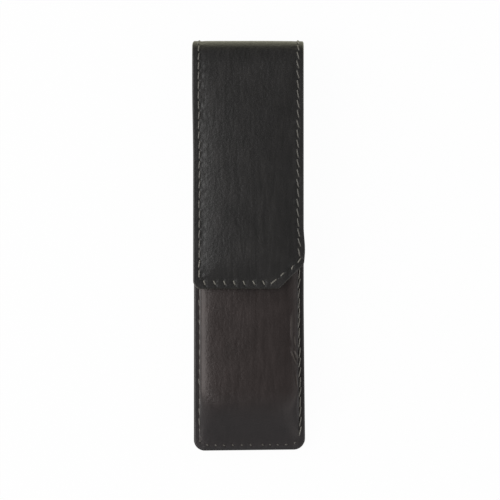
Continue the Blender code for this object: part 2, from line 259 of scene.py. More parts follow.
def wrap(x, run, depth):
    """World place in metres of flat points: straight along the back, round a half circle whose
    radius is the fold's less the depth, and straight back along the flap."""
    turn = np.clip((run - FOLD_START) / FOLD_RADIUS, 0.0, math.pi)
    past = np.maximum(run - FOLD_END, 0.0)
    reach = FOLD_RADIUS - depth
    y = np.where(run < FOLD_START, run, FOLD_START + reach * np.sin(turn) - past)
    z = FOLD_RADIUS - reach * np.cos(turn)
    return np.stack((x + 0.0 * y, y, z), axis=-1) * MM


def corner_facts(corners):
    """For each corner: its arc's centre and radius, and the outward normals of the sides that meet
    there."""
    points = np.array([corner[:2] for corner in corners])
    facts = []
    for place, (_, _, radius) in enumerate(corners):
        into = points[place] - points[place - 1]
        out = points[(place + 1) % len(points)] - points[place]
        into = into / np.linalg.norm(into)
        out = out / np.linalg.norm(out)
        first = np.array((into[1], -into[0]))
        second = np.array((out[1], -out[0]))
        half = math.acos(float(into @ out)) / 2.0
        middle = (first + second) / np.linalg.norm(first + second)
        centre = points[place] - middle * radius / math.cos(half)
        facts.append((centre, radius, first, second))
    return facts


def outline_inset(x, run, corners):
    """Distance in from a rounded outline: the least distance to its sides, and at a corner, where
    both sides' normals lie either side of the way from the arc's centre, the radius less the
    distance to that centre."""
    inset = np.full(np.broadcast(x, run).shape, np.inf)
    facts = corner_facts(corners)
    for (corner_x, corner_run, _), (_, _, _, normal) in zip(corners, facts):
        inset = np.minimum(inset, -((x - corner_x) * normal[0] + (run - corner_run) * normal[1]))
    for centre, radius, first, second in facts:
        away_x = x - centre[0]
        away_run = run - centre[1]
        past_first = first[0] * away_run - first[1] * away_x
        before_second = away_x * second[1] - away_run * second[0]
        at_arc = (past_first > 0.0) & (before_second > 0.0)
        inset = np.where(at_arc, radius - np.hypot(away_x, away_run), inset)
    return inset


def side_limit(run, trim, side, corners):
    """Where a row across the strip ends on one side: the x at which the inset falls to the trim,
    found by halving the stretch between the middle and just past the side forty times."""
    inner = np.zeros_like(run)
    outer = np.full_like(run, side * (HALF_WIDTH + 1.0))
    for _ in range(40):
        middle = (inner + outer) / 2.0
        inside_it = outline_inset(middle, run, corners) > trim
        inner = np.where(inside_it, middle, inner)
        outer = np.where(inside_it, outer, middle)
    return (inner + outer) / 2.0


def column_shares(step):
    """Shares of the width at which the columns lie: close on the rounded edge at each side, then a
    step apart within the close band, and about a step apart between."""
    band = np.arange(ROUND_INSETS[-1] + step, CLOSE_BAND, step)
    side = np.array((0.0, *ROUND_INSETS, *band))
    width = 2.0 * HALF_WIDTH
    count = int((width - 2.0 * side[-1]) / step)
    middle = np.linspace(side[-1], width - side[-1], count + 1)[1:-1]
    return np.concatenate((side, middle, (width - side)[::-1])) / width


def run_rows(start, end, step, start_open, end_open):
    """Runs of the rows of one stretch: even steps, closing up towards each end. An open end is a cut
    in the fold. A closed one is a finished edge of the strip, and its first row lies just inside it,
    where the strip still has a width."""
    cut = np.array((0.0, 0.03, 0.09, 0.2))
    edge = np.array((0.001, *ROUND_INSETS, 1.05))
    low = start + (cut if start_open else edge)
    high = (end - (cut if end_open else edge))[::-1]
    count = max(int((high[0] - low[-1]) / step), 2)
    return np.concatenate((low, np.linspace(low[-1], high[0], count + 1)[1:-1], high))


def pressed(inset, slope):
    """Share of the full press: 1 on the border, ramping to 0 over the slope."""
    return 1.0 - ramp(inset, BORDER, BORDER + slope)


def settled(inset):
    """Share of the outer face's press: 1 on the border, then (1 + s) exp(-s), where s is the way in
    from the border over the reach."""
    way = np.maximum(inset - BORDER, 0.0) / SETTLE_REACH
    return (1.0 + way) * np.exp(-way)


def outer_press(run):
    """Depth of the border's press on the outer face. The bend takes 0.85 of it out again at the top
    of the fold, by a bell that is 7 mm wide towards the back and 20 mm towards the flap."""
    reach = np.where(run < FOLD_MIDDLE, 7.0, 20.0)
    return PRESS_OUTER * (1.0 - 0.85 * bell(run - FOLD_MIDDLE, reach))


def flap_crown(x, run):
    """How far the crowned flap stands proud: a parabola across it, which grows from just before the
    fold's end to 34 mm past it, and falls off over the last 9 mm before the free end's border."""
    across = np.maximum(1.0 - (x / (HALF_WIDTH - BORDER)) ** 2, 0.0)
    low_border = FLAP_END - BORDER
    return FLAP_CROWN * across * ramp(run, 94.0, 136.0) * ramp(run, low_border, low_border - 9.0)


# Seams

def spaced(start, end):
    """Middles of stitches evenly along a line, as many as its length holds at about the pitch."""
    count = max(int(round(abs(end - start) / PITCH)), 1)
    return start + (end - start) * (np.arange(count) + 0.5) / count


def wandering(count, reach, seed):
    """Small uneven amounts, as hand-guided sewing leaves, between minus and plus the reach."""
    return np.random.default_rng(seed).uniform(-reach, reach, count)


def stitch_rows(x, run, angle, length, gap, inward):
    """Table of stitches: middle x and run, angle to +x in degrees, length, how far past the thread's
    end its hole lies, and the unit way inward from the seam."""
    columns = (x, run, angle, length, gap, inward[0], inward[1])
    columns = np.broadcast_arrays(*(np.asarray(column, float) for column in columns))
    return np.stack(columns, axis=-1).reshape(-1, 7)


def side_stitches(side, runs, x, lean, length, sway, stray, seeds):
    """Stitches along one side at x, which lean unevenly by up to sway degrees and stray from their
    line by up to stray."""
    angle = 90.0 + lean + wandering(len(runs), sway, seeds[0] + side)
    places = side * x + wandering(len(runs), stray, seeds[1] + side)
    gap = (PITCH - length) / 2.0 - HOLE_CLOSER
    return stitch_rows(places, runs, angle, length, gap, (-side, 0.0))


def shell_stitches():
    """All stitches of the strip in flat places: both long sides from the closed end over the fold to
    the flap's end, the closed end, its corners, the flap's free end, and its cut corner."""
    rows = []
    for side, short, inset, lean, length in SHELL_SEAMS:
        runs = spaced(CLOSED_END + SHELL_SEAM_START, FLAP_END - short)
        rows.append(side_stitches(side, runs, HALF_WIDTH - inset, lean, length, sway=4.0, stray=0.12,
                                  seeds=(3, 13)))
    end_x = spaced(-16.2, 16.8)
    lean = 8.0 + wandering(len(end_x), 5.0, 23)
    rows.append(stitch_rows(end_x, CLOSED_END + 2.15, lean, length=2.8, gap=0.35, inward=(0.0, 1.0)))
    rows.append(stitch_rows((-18.3, 18.6), CLOSED_END + 3.3, (-48.0, 48.0), length=2.4, gap=0.2,
                            inward=(0.0, 1.0)))
    flap_x = -17.1 + 3.82 * np.arange(7)
    lean = 68.0 + wandering(7, 5.0, 31)
    rows.append(stitch_rows(flap_x, FLAP_END - 2.4, lean, length=2.1, gap=0.1, inward=(0.0, -1.0)))
    corner_x = (9.75, 13.15, 16.95, 19.55)
    corner_run = FLAP_END - np.array((2.95, 5.75, 8.35, 11.2))
    corner_angle = (-39.0, -45.0, -68.0, -60.0)
    rows.append(stitch_rows(corner_x, corner_run, corner_angle, length=(3.4, 2.3, 2.0, 2.4), gap=0.1,
                            inward=(-0.7, -0.7)))
    return np.concatenate(rows)


def pocket_stitches():
    """Stitches of the pocket's seam on its flange: both sides, the closed end and its corners."""
    rows = []
    runs = spaced(POCKET_LOW + POCKET_SEAM_START, MOUTH - POCKET_SEAM_STOP)
    for side, inset, lean, length in POCKET_SEAMS:
        rows.append(side_stitches(side, runs, POCKET_HALF - inset, lean, length, sway=5.0, stray=0.16,
                                  seeds=(43, 47)))
    end_x = (-12.9, -9.65, -6.2, -2.7, 0.8, 5.5, 8.3, 11.2)
    lean = -55.0 + wandering(len(end_x), 8.0, 53)
    rows.append(stitch_rows(end_x, POCKET_LOW + 1.95, lean, length=0.95, gap=0.2, inward=(0.0, 1.0)))
    corner_x = (-19.1, -16.2, 14.4, 17.6)
    corner_y = POCKET_LOW + np.array((3.7, 2.1, 1.95, 2.6))
    corner_angle = (-66.0, -30.0, 20.0, 40.0)
    rows.append(stitch_rows(corner_x, corner_y, corner_angle, length=0.95, gap=0.3,
                            inward=(0.0, 1.0)))
    return np.concatenate(rows)


def stitch_ends(stitches):
    """The two holes of each stitch: its middle plus and minus, along its angle, half its length and
    the gap to the hole."""
    turn = np.radians(stitches[:, 2])
    half = stitches[:, 3] / 2.0 + stitches[:, 4]
    step = np.stack((np.cos(turn), np.sin(turn)), axis=-1) * half[:, None]
    middle = stitches[:, :2]
    return np.concatenate((middle - step, middle + step))


def near_stitches(stitches, run):
    """Stitches that lie within 5 mm of some runs."""
    kept = (stitches[:, 1] > run.min() - 5.0) & (stitches[:, 1] < run.max() + 5.0)
    return stitches[kept]


def nearest_drop(x, run, centres, width):
    """Bell of the distance to the nearest of some centres. Centres are taken in blocks of about 24,
    each only for the points within three widths of it along the run."""
    shape = x.shape
    points = np.stack((x.ravel(), run.ravel()), axis=-1)
    least = np.full(len(points), np.inf)
    reach = 3.0 * width
    for block in np.array_split(centres, max(len(centres) // 24, 1)):
        near = (points[:, 1] > block[:, 1].min() - reach) & (points[:, 1] < block[:, 1].max() + reach)
        if near.any():
            gap = points[near, None, :] - block[None, :, :]
            least[near] = np.minimum(least[near], np.sum(gap * gap, axis=-1).min(axis=1))
    return np.exp(-least / width ** 2).reshape(shape)


def seam_relief(x, run, stitches):
    """Depth that the sewing gives the leather: a hole at each stitch end, and an uneven pucker just
    inside the seam, where the thread pulls the leather down."""
    holes = nearest_drop(x, run, stitch_ends(stitches), HOLE_WIDTH)
    pulled = nearest_drop(x, run, stitches[:, :2] + PULL_INSET * stitches[:, 5:7], PULL_WIDTH)
    uneven = 0.7 + 0.5 * np.sin(run / 1.9 + 2.0 * np.sin(run / 4.7)) * np.cos(run / 12.1 + x)
    return HOLE_DEPTH * holes + PULL_DEPTH * uneven * pulled


def painted_highlight_share(x, run):
    """How far the pocket's thread is painted pale as a highlight: fully along the right side, where
    the wall shades it, a fifth as much along the left, and not at all at the closed end."""
    return (0.2 + 0.8 * ramp(x, 0.0, 15.0)) * ramp(run, -76.0, -70.0)


def dulled_share(x, run):
    """How far the shell's thread is dulled: fully along both sides, but not round the flap's end."""
    return ramp(np.abs(x), 17.0, 19.0) * (1.0 - ramp(run, FLAP_END - 14.0, FLAP_END - 11.0))


# Meshes

def new_piece(name, verts, faces, material, uv=None, marks=None):
    """Object at the origin from points in metres and quads or triangles, smooth but for sharp turns,
    with a UV map in millimetres and named marks for its material."""
    mesh = bpy.data.meshes.new(name)
    mesh.from_pydata(verts.tolist(), [], [tuple(face) for face in faces])
    if uv is not None:
        layer = mesh.uv_layers.new(name="flat_mm")
        corner = np.empty(len(mesh.loops), dtype=np.int32)
        mesh.loops.foreach_get("vertex_index", corner)
        layer.data.foreach_set("uv", uv[corner].astype(np.float32).ravel())
    for mark, values in (marks or {}).items():
        attribute = mesh.attributes.new(mark, "FLOAT", "POINT")
        attribute.data.foreach_set("value", np.asarray(values, dtype=np.float32).ravel())
    mesh.validate()
    tidy = bmesh.new()
    tidy.from_mesh(mesh)
    bmesh.ops.remove_doubles(tidy, verts=tidy.verts, dist=SAME_POINT)
    bmesh.ops.recalc_face_normals(tidy, faces=tidy.faces)
    tidy.to_mesh(mesh)
    tidy.free()
    mesh.shade_smooth()
    mesh.set_sharp_from_angle(angle=math.radians(SHARP_TURN))
    mesh.materials.append(material)
    obj = bpy.data.objects.new(name, mesh)
    bpy.context.scene.collection.objects.link(obj)
    return obj


def grid_faces(index):
    """Quads between neighbouring rows and columns of a table of point numbers."""
    quads = np.stack((index[:-1, :-1], index[:-1, 1:], index[1:, 1:], index[1:, :-1]), axis=-1)
    return quads.reshape(-1, 4)


def used_only(verts, faces, *tables):
    """Points that some face uses, with the faces and tables renumbered to them."""
    used = np.unique(faces)
    renumber = np.zeros(len(verts), dtype=int)
    renumber[used] = np.arange(len(used))
    return (verts[used], renumber[faces], *(table[used] for table in tables))


def two_faced(outer, inner, start_open, end_open):
    """Points and quads of a sheet from two grids of one size: they share their sides and their
    finished ends, and a cut end is closed by a strip between them."""
    rows, columns = outer.shape[:2]
    outer_index = np.arange(rows * columns).reshape(rows, columns)
    inner_index = outer_index + rows * columns
    inner_index[:, 0] = outer_index[:, 0]
    inner_index[:, -1] = outer_index[:, -1]
    faces = [grid_faces(outer_index)]
    for place, is_open in ((0, start_open), (-1, end_open)):
        if is_open:
            faces.append(grid_faces(np.stack((outer_index[place], inner_index[place]))))
        else:
            inner_index[place] = outer_index[place]
    faces.append(grid_faces(inner_index)[:, ::-1])
    return np.concatenate((outer.reshape(-1, 3), inner.reshape(-1, 3))), np.concatenate(faces)


def strip_sheet(name, start, end, trim, step, faces_at, material, stitched=None):
    """One sheet of one stretch of the strip. Rows lie across it between the limits of its outline,
    and faces_at gives the depths of its outer and inner face from x, run and inset. The rim's mark,
    partly edge wear and partly a painted highlight where the cut edge catches the light, fades as
    exp(-inset / reach), and reaches further at the flap's lower left corner as a painted highlight."""
    start_open = start > CLOSED_END
    end_open = end < FLAP_END
    low = start if start_open else start + trim
    high = end if end_open else end - trim
    runs = run_rows(low, high, step, start_open, end_open)
    left = side_limit(runs, trim, -1, STRIP)[:, None]
    right = side_limit(runs, trim, 1, STRIP)[:, None]
    x = left + (right - left) * column_shares(step)[None, :]
    run = runs[:, None] + 0.0 * x
    inset = np.maximum(outline_inset(x, run, STRIP) - trim, 0.0)
    for place, is_open in ((0, start_open), (-1, end_open)):
        if not is_open:
            inset[place] = 0.0
    inset[:, 0] = 0.0
    inset[:, -1] = 0.0
    outer_depth, inner_depth = faces_at(x, run, inset)
    laid = hand_cut(x, run)
    verts, faces = two_faced(wrap(*laid, outer_depth), wrap(*laid, inner_depth), start_open, end_open)
    flat = np.stack((x, run), axis=-1).reshape(-1, 2)
    uv = np.concatenate((flat, flat + (STRIP_FACE_APART, 0.0)))
    # Painted highlight: the rim's paler colour reaches further at the flap's lower left corner, where
    # its cut edge catches the light
    corner_painted_highlight = bell(np.hypot(x + 20.0, run - (FLAP_END - 1.5)), 3.0)
    rim = np.exp(-inset / (RIM_REACH + 0.4 * corner_painted_highlight)).ravel()
    hole = np.zeros_like(rim)
    # Painted shade in the stitch holes, on the outer face only
    if stitched is not None:
        hole = nearest_drop(x, run, stitch_ends(stitched), HOLE_MARK).ravel()
    rim = np.concatenate((rim, rim))
    hole = np.concatenate((hole, np.zeros_like(hole)))
    verts, faces, uv, rim, hole = used_only(verts, faces, uv, rim, hole)
    return new_piece(name, verts, faces, material, uv, {"rim": rim, "hole": hole})


def leather_faces(stitches):
    """Depths of the shell leather: pressed border, rounded edge and sewing outside, plain inside."""
    def depths(x, run, inset):
        edge = rounded_edge(inset, LEATHER)
        relief = seam_relief(x, run, near_stitches(stitches, run)) * ramp(inset, 0.0, 0.8)
        pared = RIGHT_PARE * np.clip(1.0 - (HALF_WIDTH - x) / BORDER, 0.0, 1.0)
        waves = 0.02 * (slow_waves(x, run) + 2.2) * ramp(inset, 2.0, 6.0)
        outer = outer_press(run) * settled(inset) + edge + relief + waves - flap_crown(x, run) + pared
        inner = LEATHER + SQUEEZE * pressed(inset, SQUEEZE_SLOPE)
        return outer, inner + PRESS_OUTER * pressed(inset, PRESS_SLOPE) - edge
    return depths


def board_faces(x, run, inset):
    """Depths of the stiffener, whose edge is pared thin."""
    press = pressed(inset + BOARD_TRIM, PRESS_SLOPE)
    edge = rounded_edge(inset, BOARD)
    outer = LEATHER + GLUE + PRESS_OUTER * press + edge
    return outer, LEATHER + GLUE + BOARD - PRESS_INNER * press - edge


def lining_faces(stitches):
    """Depths of the lining, which the seam pulls in from its inner face."""
    def depths(x, run, inset):
        press = pressed(inset + LINING_TRIM, PRESS_SLOPE)
        squeeze = pressed(inset + LINING_TRIM, SQUEEZE_SLOPE)
        edge = rounded_edge(inset, LINING, LINING_EDGE_REACH)
        near = near_stitches(stitches, run)
        relief = 0.16 * nearest_drop(x, run, stitch_ends(near), 0.4) * ramp(inset, 0.0, 0.6)
        outer = LINING_DEPTH - PRESS_INNER * press + edge - SQUEEZE * squeeze
        return outer, LINING_DEPTH + LINING - PRESS_INNER * press - edge - relief
    return depths


def thread_loops(name, stitches, place, material, wear_and_highlight, sink=THREAD_SINK):
    """Sewing thread: each stitch is a round thread along its angle, which rises out of one hole,
    lies in the leather and goes down the other. Rings of seven points follow the height
    rise * (1 - |s|^3) - sink * |s|^6 over s from -1 to 1, thin out towards both ends as
    sqrt(1 - 0.55 s^6), and are a little flatter than round. The sink may differ by stitch."""
    along = np.array((-0.98, -0.78, -0.4, 0.0, 0.4, 0.78, 0.98))
    around = np.linspace(0.0, 2.0 * math.pi, 8)[:-1]
    height = THREAD_RISE * (1.0 - np.abs(along) ** 3)
    height = height - np.reshape(sink, (-1, 1)) * np.abs(along) ** 6
    thick = (THREAD_RADIUS * np.sqrt(1.0 - 0.55 * along ** 6))[None, :, None]
    turn = np.radians(stitches[:, 2])[:, None, None]
    reach = stitches[:, 3][:, None, None] / 2.0 * along[None, :, None]
    side = thick * np.cos(around)[None, None, :]
    rise = height[:, :, None] + 0.86 * thick * np.sin(around)[None, None, :]
    x = stitches[:, 0][:, None, None] + np.cos(turn) * reach - np.sin(turn) * side
    run = stitches[:, 1][:, None, None] + np.sin(turn) * reach + np.cos(turn) * side
    rings = place(x, run, rise + 0.0 * x)
    count, steps, sides = rings.shape[:3]
    index = np.arange(count * steps * sides).reshape(count, steps, sides)
    closed = np.concatenate((index, index[:, :, :1]), axis=2)
    faces = [tuple(quad) for loop in closed for quad in grid_faces(loop)]
    faces += [tuple(ring[::-1]) for ring in index[:, 0]] + [tuple(ring) for ring in index[:, -1]]
    uv = np.broadcast_arrays(reach, around[None, None, :] * THREAD_RADIUS, x)[:2]
    return new_piece(name, rings.reshape(-1, 3), faces, material,
                     np.stack(uv, axis=-1).reshape(-1, 2), {"wear_and_highlight_mark": wear_and_highlight(x, run)})


# Pocket front

def front_rows():
    """Outer profile of the pocket front as side inset, end inset and height. At the sides: rim,
    flange, foot fillet, steep wall, a shoulder arc that ends where it meets the crown's slope, and a
    crown that closes on the top height by rise * exp(-way / reach) + roll * (1 - share)^2 over its
    share of the way to the middle. At the closed end the same heights lie on one long smoothstep, so
    the end inset is the foot plus the run times the smoothstep's inverse."""
    rim = np.linspace(0.0, 1.0, RIM_ROWS)
    rows = [(EDGE_REACH * rim ** 2, FLANGE_TOP + 0.0 * rim)]
    flange = np.linspace(0.75, FOOT - FOOT_FILLET - 0.15, 8)
    rows.append((flange, FLANGE_TOP + 0.0 * flange))
    turn = np.linspace(0.0, math.pi / 2.0, 6)
    rows.append((FOOT - FOOT_FILLET * (1.0 - np.sin(turn)),
                 FLANGE_TOP + FOOT_FILLET * (1.0 - np.cos(turn))))
    meet = math.atan(1.0 / (CROWN_RISE / CROWN_REACH + 2.0 * CROWN_ROLL / CROWN_HALF))
    wall_foot = FLANGE_TOP + FOOT_FILLET
    wall_top = FRONT_TOP - CROWN_RISE - CROWN_ROLL - SHOULDER * math.sin(meet)
    share = np.linspace(0.0, 1.0, 13)[1:-1]
    rows.append((FOOT + WALL_LEAN * share, wall_foot + (wall_top - wall_foot) * share))
    turn = np.linspace(0.0, meet, 13)
    rows.append((FOOT + WALL_LEAN + SHOULDER * (1.0 - np.cos(turn)),
                 wall_top + SHOULDER * np.sin(turn)))
    start = rows[-1][0][-1]
    share = np.linspace(0.0, 1.0, 35)[1:] ** 1.8
    way = (POCKET_HALF - start) * share
    fall = CROWN_RISE * np.exp(-way / CROWN_REACH) + CROWN_ROLL * (1.0 - share) ** 2
    rows.append((start + way, FRONT_TOP - fall))
    side, height = np.concatenate(rows, axis=1)
    risen = np.clip((height - FLANGE_TOP) / (FRONT_TOP - FLANGE_TOP), 0.0, 1.0)
    end = FOOT + END_RISE_RUN * (0.5 - np.sin(np.arcsin(1.0 - 2.0 * risen) / 3.0))
    end = np.where(side < FOOT - FOOT_FILLET, side * FOOT / (FOOT - FOOT_FILLET), end)
    return np.stack((side, end, height), axis=-1)


def moved_in(rows, distance):
    """Profile moved square to itself to the inner side: the normal is the tangent of height against
    inset turned a quarter, taken for the side and the end alike."""
    moved = rows.copy()
    for column in (0, 1):
        line = np.stack((rows[:, column], rows[:, 2]), axis=-1)
        ahead = np.gradient(line, axis=0)
        ahead /= np.maximum(np.linalg.norm(ahead, axis=1), 1e-9)[:, None]
        moved[:, column] = rows[:, column] + ahead[:, 1] * distance
        if column == 0:
            moved[:, 2] = rows[:, 2] - ahead[:, 0] * distance
    moved[:, 0] = np.minimum(moved[:, 0], POCKET_HALF)
    return moved


def mouth_line(x):
    """Edge of the pocket's mouth: straight, with the thumb notch as one cosine dip in the middle."""
    dip = NOTCH_DEPTH / 2.0 * (1.0 + np.cos(math.pi * np.clip(x / NOTCH_HALF, -1.0, 1.0)))
    return MOUTH - dip


def tray_path(side_inset, end_inset):
    """Ways round the pocket for each profile row: down the left side from the mouth, round the
    corner, along the closed end, round the other corner and up the right side. The corner's radius
    shrinks over the flange and grows by 0.45 of the way in from the foot. Returns x, y and the way
    in from the edge as a unit vector."""
    half = np.maximum(POCKET_HALF - side_inset, 0.0)[:, None]
    low = (POCKET_LOW + end_inset)[:, None]
    radius = np.maximum(POCKET_CORNER - 0.6 * end_inset, 2.6)
    radius = radius + 0.45 * np.maximum(end_inset - FOOT, 0.0)
    radius = np.minimum(radius[:, None], half)
    down = np.linspace(0.0, 1.0, SIDE_COLUMNS + 1)[None, :] ** 0.98
    turn = np.linspace(0.0, math.pi / 2.0, CORNER_COLUMNS + 1)[None, 1:]
    across = np.linspace(0.0, 1.0, END_COLUMNS + 1)[None, 1:]
    left_x = -half + 0.0 * down
    top = mouth_line(left_x)
    left_y = top + (low + radius - top) * down
    arc_x = -half + radius * (1.0 - np.cos(turn))
    arc_y = low + radius * (1.0 - np.sin(turn))
    end_x = (-half + radius) * (1.0 - across) + (half - radius) * across
    end_y = low + 0.0 * end_x
    in_x = np.cos(turn)
    in_y = np.sin(turn)
    x = np.concatenate((left_x, arc_x, end_x, -arc_x[:, ::-1][:, 1:], half + 0.0 * down), axis=1)
    y = np.concatenate((left_y, arc_y, end_y, arc_y[:, ::-1][:, 1:], left_y[:, ::-1]), axis=1)
    way_x = np.concatenate((1.0 + 0.0 * down, in_x, 0.0 * across, -in_x[:, ::-1][:, 1:],
                            -1.0 + 0.0 * down), axis=1)
    way_y = np.concatenate((0.0 * down, in_y, 1.0 + 0.0 * across, in_y[:, ::-1][:, 1:],
                            0.0 * down), axis=1)
    return x, y, way_x + 0.0 * x, way_y + 0.0 * x


def crease_rise(x, y):
    """How far the creases stand out: for each, its height times a bell of the distance to its line,
    less 0.3 of that in a shallow trough all round it. Both fade towards the crease's ends."""
    total = np.zeros_like(x)
    for x0, y0, x1, y1, width, proud in CREASES:
        along_x = x1 - x0
        along_y = y1 - y0
        share = ((x - x0) * along_x + (y - y0) * along_y) / (along_x ** 2 + along_y ** 2)
        share = np.clip(share, 0.0, 1.0)
        gap = np.hypot(x - x0 - along_x * share, y - y0 - along_y * share)
        fade = 0.3 + 0.7 * ramp(share, 0.0, 0.25) * ramp(share, 1.0, 0.75)
        total += proud * fade * (bell(gap, width) - 0.3 * bell(gap - 1.7 * width, width))
    return total


def tray_rows(distance, thickness, trim):
    """Profiles of the two faces of a sheet of the pocket front: the outer profile moved in by the
    distance, and by the thickness more. Over the rim's rows and the next one they share their
    insets, from the trim on, and round together into one edge."""
    profile = front_rows()
    outer = moved_in(profile, distance)
    inner = moved_in(profile, distance + thickness)
    outer[:RIM_ROWS, :2] = np.maximum(outer[:RIM_ROWS, :2], trim)
    rim = slice(0, RIM_ROWS + 1)
    inner[rim, :2] = outer[rim, :2]
    bend = rounded_edge(outer[rim, 0] - trim, thickness)
    outer[rim, 2] = FLANGE_TOP - distance - bend
    inner[rim, 2] = FLANGE_TOP - distance - thickness + bend
    return outer, inner


def pocket_relief(x, y, way_x, rows, stitched):
    """How far the pocket's hide stands out, with the marks of its holes and creases: a ripple at the
    foot of the side walls with one wave to a stitch, the creases, slow waves past the foot, and the
    holes of the seam, which are shallower on the right. The holes' mark paints shade in them, and the
    creases' mark pales them, partly as the pull-up of waxed leather and partly as a painted highlight."""
    inset = rows[:, :1]
    height = rows[:, 2:] - FLANGE_TOP
    phase = 2.0 * math.pi * y / PITCH + 1.1 * np.sin(y / 9.0)
    uneven = 0.6 + 0.5 * np.sin(y / 5.7 + 1.9 * np.sin(y / 14.3))
    at_foot = ramp(height, 0.0, 0.8) * (1.0 - ramp(height, 0.8, 4.2))
    out = 0.035 * uneven * np.cos(phase) * at_foot * np.abs(way_x)
    crease = crease_rise(x, y)
    out += crease + 0.05 * slow_waves(1.4 * x + 5.0, 1.2 * y) * ramp(inset, 2.4, 5.4)
    # The hole's bell dents the hide, and as a mark it paints shade in the hole
    hole = nearest_drop(x, y, stitch_ends(stitched), HOLE_WIDTH)
    hole = hole * (1.0 - ramp(height, 0.0, 0.5)) * (1.0 - 0.7 * ramp(x, 0.0, 12.0))
    out -= 0.45 * HOLE_DEPTH * hole
    return out * ramp(inset, 0.0, 0.5), hole, np.clip(crease / 0.2, 0.0, 1.0)


def tray_piece(name, distance, thickness, trim, material, stitched=None):
    """Moulded sheet of the pocket front. Its outer face is the profile carried along the path round
    the pocket, its inner face the same moved in by the thickness, and both meet at the rim and at
    the mouth. The relief moves the outer face square to itself."""
    profiles = tray_rows(distance, thickness, trim)
    grids = []
    flats = []
    holes = []
    creases = []
    for face, rows in enumerate(profiles):
        x, y, way_x, way_y = tray_path(rows[:, 0], rows[:, 1])
        z = rows[:, 2:] + 0.0 * x
        rise = np.gradient(rows[:, 2])
        steep = (rise / np.maximum(np.hypot(np.gradient(rows[:, 0]), rise), 1e-9))[:, None]
        level = np.sqrt(np.maximum(1.0 - steep ** 2, 0.0))
        out = hole = crease = np.zeros_like(x)
        if face == 0 and stitched is not None:
            out, hole, crease = pocket_relief(x, y, way_x, rows, stitched)
        at_mouth = rounded_edge(np.maximum(mouth_line(x) - y, 0.0), thickness, MOUTH_EDGE_REACH)
        closing = at_mouth if face == 0 else -at_mouth
        moved_x = x - way_x * (out - closing) * steep
        moved_y = y - way_y * out * steep
        moved_z = z + (out - closing) * level
        if face == 0:
            moved_z = moved_z - FLANGE_PARE * np.clip(1.0 - (POCKET_HALF - x) / FOOT, 0.0, 1.0)
        grids.append(np.stack((*hand_cut(moved_x, moved_y), moved_z), axis=-1) * MM)
        fall = FRONT_TOP - z
        flat_y = y - way_y * fall + TRAY_FACE_APART * (face + 1)
        flats.append(np.stack((x - way_x * fall, flat_y), axis=-1))
        holes.append(hole)
        creases.append(crease)
    rim = np.exp(-np.maximum(profiles[0][:, :1] - trim, 0.0) / RIM_REACH)
    border = 0.8 * (1.0 - ramp(profiles[0][:, :1], 1.2, 1.7))
    # The rim's mark pales the flange edge, partly wear and partly painted highlight, and the creases,
    # partly the pull-up of waxed leather and partly painted highlight; the hole mark is painted shade
    marks = {
        "rim": [np.maximum(rim, crease) for crease in creases],
        "hole": holes,
        "cool": [np.maximum(border, 0.6 * ramp(grid[..., 1] / MM, -54.0, -72.0)) for grid in grids],
    }
    return joined_tray(name, grids, flats, marks, material)


def joined_tray(name, grids, flats, marks, material):
    """Closes the two faces of the pocket front at the rim and at both ends of the mouth."""
    rows, columns = grids[0].shape[:2]
    outer_index = np.arange(rows * columns).reshape(rows, columns)
    inner_index = outer_index + rows * columns
    inner_index[0] = outer_index[0]
    faces = [grid_faces(outer_index), grid_faces(inner_index)[:, ::-1]]
    for place in (0, -1):
        faces.append(grid_faces(np.stack((outer_index[:, place], inner_index[:, place]))))
    verts = np.concatenate([grid.reshape(-1, 3) for grid in grids])
    uv = np.concatenate([flat.reshape(-1, 2) for flat in flats])
    tables = [np.concatenate([part.ravel() for part in parts]) for parts in marks.values()]
    verts, faces, uv, *tables = used_only(verts, np.concatenate(faces), uv, *tables)
    return new_piece(name, verts, faces, material, uv, dict(zip(marks, tables)))


# Divider

def divider_ceiling(y):
    """Height of the space under the middle of the pocket front: the closed end's profile moved in by
    the two sheets and a gap, read at the way from the closed end."""
    rows = moved_in(front_rows(), LEATHER + 2.0 * GLUE + LINING)
    order = np.argsort(rows[:, 1])
    return np.interp(y - POCKET_LOW, rows[order, 1], rows[order, 2])


def divider_strip(name, material):
    """Divider between the pens: a thin web on a flat foot. Its section, a web that flares into the
    foot and is rounded over its top twentieth, is carried along the pocket. Its height follows the
    ceiling, then sweeps down by 0.55 before the far end, and the web waves a little."""
    low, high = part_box("pen_divider")
    floor = low[2] / MM
    top = high[2] / MM
    far = high[1] / MM
    y = np.linspace(low[1] / MM, far, 130)
    y = y[divider_ceiling(y) - floor > 3.0]
    height = np.minimum(divider_ceiling(y), top) - floor
    height = height * (1.0 - 0.55 * ramp(y, far - SWEEP, far))
    flare = ((3.5, 0.0), (3.5, 0.35), (3.3, 0.58), (1.6, 0.62), (0.95, 0.85), (0.62, 1.4),
             (WEB_HALF, FLARE_TOP))
    rows = [(x, floor + z + 0.0 * y) for x, z in flare]
    for share in np.linspace(0.0, 1.0, 12)[1:]:
        rounding = max(share - 0.95, 0.0) / 0.051
        rows.append((WEB_HALF * math.sqrt(1.0 - rounding ** 2),
                     floor + FLARE_TOP + (height - FLARE_TOP) * share))
    right = np.array([np.stack((x + 0.0 * y, y, z), axis=-1) for x, z in rows])
    ring = np.concatenate((right, right[::-1] * (-1.0, 1.0, 1.0)), axis=0)
    ring[..., 0] += 0.12 * np.sin(y / 11.0) * ramp(ring[..., 2] - floor, 2.0, 8.0)
    count, steps = ring.shape[:2]
    index = np.arange(count * steps).reshape(count, steps)
    closed = np.concatenate((index, index[:1]), axis=0)
    faces = [tuple(quad) for quad in grid_faces(closed)]
    faces += [tuple(index[:, 0]), tuple(index[::-1, -1])]
    uv = ring[..., [2, 1]].reshape(-1, 2)
    return new_piece(name, ring.reshape(-1, 3) * MM, faces, material, uv)


# Materials

